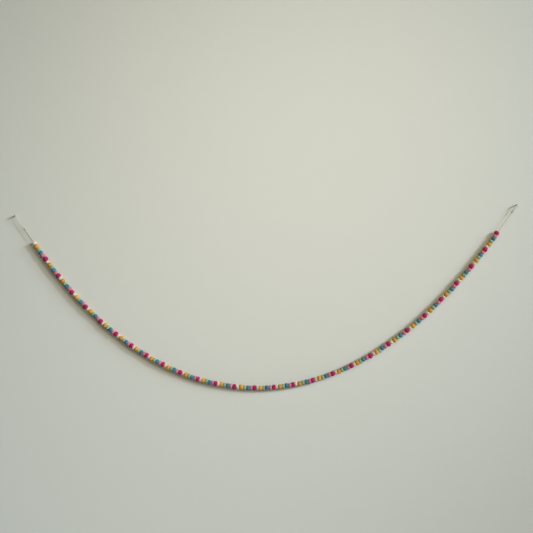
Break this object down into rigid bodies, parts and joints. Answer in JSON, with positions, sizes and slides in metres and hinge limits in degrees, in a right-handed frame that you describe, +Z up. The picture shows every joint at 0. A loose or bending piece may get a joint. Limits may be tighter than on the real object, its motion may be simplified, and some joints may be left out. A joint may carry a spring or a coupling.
{
  "type": "felt ball garland on two wall pins",
  "caption": "Long string of small wool felt balls in repeating colours, hung in a deep curve by its knotted cord loops from two small wall pins.",
  "frame": {"origin": "on the wall plane, midway between the two wall pins", "axes": "+X to the right as seen from the room, +Y into the wall, +Z up"},
  "size_m": [1.5078, 0.0173, 0.5583],
  "materials": {
    "felt_cream": "matt wet-felted wool, natural cream",
    "felt_mustard": "matt wet-felted wool, mustard yellow",
    "felt_mint": "matt wet-felted wool, pale mint green",
    "felt_blue": "matt wet-felted wool, dusty teal blue",
    "felt_pink": "matt wet-felted wool, dusty pink",
    "felt_magenta": "matt wet-felted wool, deep magenta",
    "cord": "twisted natural jute twine, paler in the left loop",
    "pin": "plain zinc-plated steel, gone dull"
  },
  "bodies": {
    "root": {"balls_01": "felt_mustard", "balls_02": "felt_magenta", "balls_03": "felt_mustard", "balls_04": "felt_magenta", "balls_05": "felt_mustard", "balls_06": "felt_magenta", "balls_07": "felt_mustard", "balls_08": "felt_magenta", "balls_09": "felt_mustard", "balls_10": "felt_magenta", "balls_11": "felt_mustard", "balls_12": "felt_magenta", "balls_13": "felt_mustard", "balls_14": "felt_magenta", "balls_15": "felt_mustard", "balls_16": "felt_magenta", "balls_17": "felt_mustard", "balls_18": "felt_magenta", "balls_19": "felt_mustard", "balls_20": "felt_magenta", "balls_21": "felt_mustard", "balls_22": "felt_magenta", "balls_23": "felt_mustard", "balls_24": "felt_magenta", "balls_25": "felt_mustard", "balls_26": "felt_magenta", "balls_27": "felt_mustard", "balls_28": "felt_magenta", "balls_29": "felt_mustard", "balls_30": "felt_magenta", "balls_31": "felt_mustard", "balls_32": "felt_magenta", "balls_33": "felt_mustard", "balls_34": "felt_magenta", "balls_35": "felt_mustard", "balls_36": "felt_magenta", "balls_37": "felt_mustard", "balls_38": "felt_magenta", "balls_39": "felt_mustard", "balls_40": "felt_magenta", "balls_41": "felt_mustard", "balls_42": "felt_magenta", "balls_43": "felt_mustard", "balls_44": "felt_magenta", "balls_45": "felt_mustard", "balls_46": "felt_magenta", "balls_47": "felt_mustard", "balls_48": "felt_magenta", "balls_49": "felt_mustard", "balls_50": "felt_magenta", "balls_51": "felt_mustard", "balls_52": "felt_magenta", "balls_53": "felt_mustard", "balls_54": "felt_magenta", "balls_55": "felt_mustard", "balls_56": "felt_magenta", "cord": "cord", "pin_left": "pin", "pin_right": "pin"}
  },
  "joints": []
}
